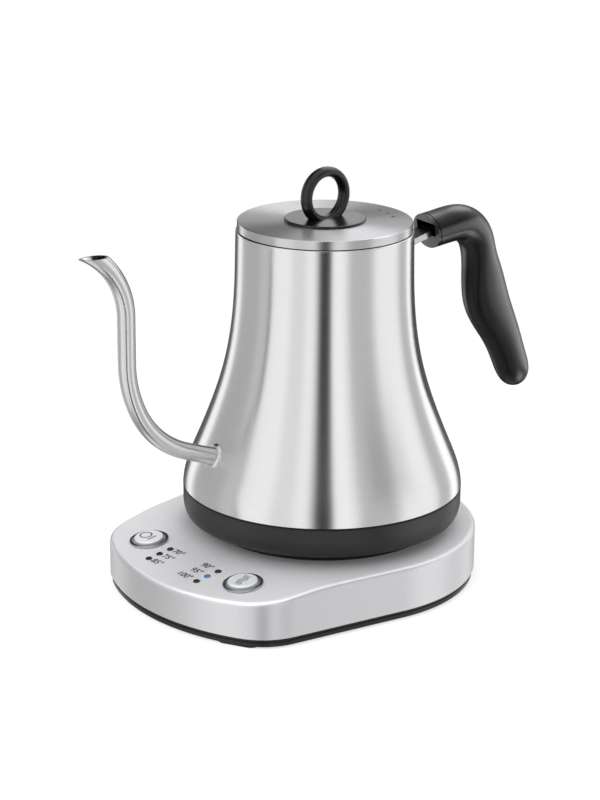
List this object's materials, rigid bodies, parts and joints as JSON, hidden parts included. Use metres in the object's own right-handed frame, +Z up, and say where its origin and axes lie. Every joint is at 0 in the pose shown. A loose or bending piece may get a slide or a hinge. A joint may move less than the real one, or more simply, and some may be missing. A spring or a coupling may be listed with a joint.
{
  "type": "electric gooseneck kettle",
  "caption": "Brushed steel gooseneck kettle with a slim curved spout, ring-topped lift-off lid and open pistol-grip handle, standing on a power base with press buttons and indicator lenses.",
  "frame": {"origin": "on the table, on the kettle's upright axis, which is also the axis of the round connector", "axes": "+Z up; -X the way the spout points; +X towards the handle; the base's panel faces mostly -X, turned 9.6 degrees about Z from the spout's plane"},
  "size_m": [0.2593, 0.1556, 0.2084],
  "materials": {
    "vessel_steel": "brushed round the body",
    "spout_steel": "brushed along the tube",
    "lid_steel": "brushed in circles",
    "base_steel": "satin",
    "bar_steel": "satin",
    "button_metal": "satin",
    "bezel_chrome": "polished",
    "skirt_plastic": "satin black",
    "handle_plastic": "soft-touch black",
    "knob_plastic": "semi-gloss black",
    "tray_plastic": "matt black",
    "connector_plastic": "matt black",
    "chassis_plastic": "matt grey",
    "liner_plastic": "matt black",
    "seal_rubber": "matt black",
    "gasket_silicone": "translucent white",
    "lens_dark": "dark lens",
    "lens_lit": "lit blue lens",
    "circuit_board": "green board",
    "component_black": "black components",
    "lamp_white": "white lamps",
    "contact_brass": "plain",
    "heater_aluminium": "cast",
    "element_steel": "plain",
    "screw_steel": "zinc plated"
  },
  "bodies": {
    "base": {"base_cover": "base_steel", "base_chassis": "chassis_plastic", "base_tray": "tray_plastic", "base_feet": "seal_rubber", "base_screws": "screw_steel", "button_bezels": "bezel_chrome", "indicator_lenses": "lens_dark", "lit_indicator_lens": "lens_lit", "control_board": "circuit_board", "button_switches": "component_black", "indicator_lamps": "lamp_white", "board_screws": "screw_steel", "connector_socket": "connector_plastic", "socket_contacts": "contact_brass", "seat_ring": "tray_plastic", "power_board": "circuit_board", "relay": "component_black", "supply_module": "component_black", "cord_inlet": "connector_plastic"},
    "power_button": {"power_button": "button_metal"},
    "temperature_button": {"temperature_button": "button_metal"},
    "connector": {"connector_plug": "connector_plastic", "plug_contacts": "contact_brass"},
    "kettle": {"vessel_shell": "vessel_steel", "spout": "spout_steel", "spout_collar": "spout_steel", "vessel_floor": "vessel_steel", "neck_ring": "vessel_steel", "skirt": "skirt_plastic", "skirt_seal": "seal_rubber", "underside_cover": "skirt_plastic", "cover_screws": "screw_steel", "heater_plate": "heater_aluminium", "heating_element": "element_steel", "temperature_probe": "element_steel", "handle": "handle_plastic", "handle_bar": "bar_steel", "handle_screws": "screw_steel"},
    "lid": {"lid_cap": "lid_steel", "lid_liner": "liner_plastic", "lid_gasket": "gasket_silicone", "lid_knob": "knob_plastic", "knob_screw": "screw_steel", "knob_washer": "screw_steel"}
  },
  "joints": [
    {"name": "power_press", "type": "slide", "parent": "base", "child": "power_button", "axis": [0.1048, 0.0177, -0.9943], "range_m": [0, 0.0008], "stiffness_N_per_m": 2000, "springref_m": -0.0003},
    {"name": "temperature_press", "type": "slide", "parent": "base", "child": "temperature_button", "axis": [0.1048, 0.0177, -0.9943], "range_m": [0, 0.0008], "stiffness_N_per_m": 2000, "springref_m": -0.0003},
    {"name": "kettle_lift", "type": "slide", "parent": "base", "child": "connector", "axis": [0, 0, 1], "range_m": [0, 0.12]},
    {"name": "kettle_turn", "type": "hinge", "parent": "connector", "child": "kettle", "pos_m": [0, 0, 0.04], "axis": [0, 0, 1], "continuous": true},
    {"name": "lid_lift", "type": "slide", "parent": "kettle", "child": "lid", "axis": [0, 0, 1], "range_m": [0, 0.06]}
  ]
}
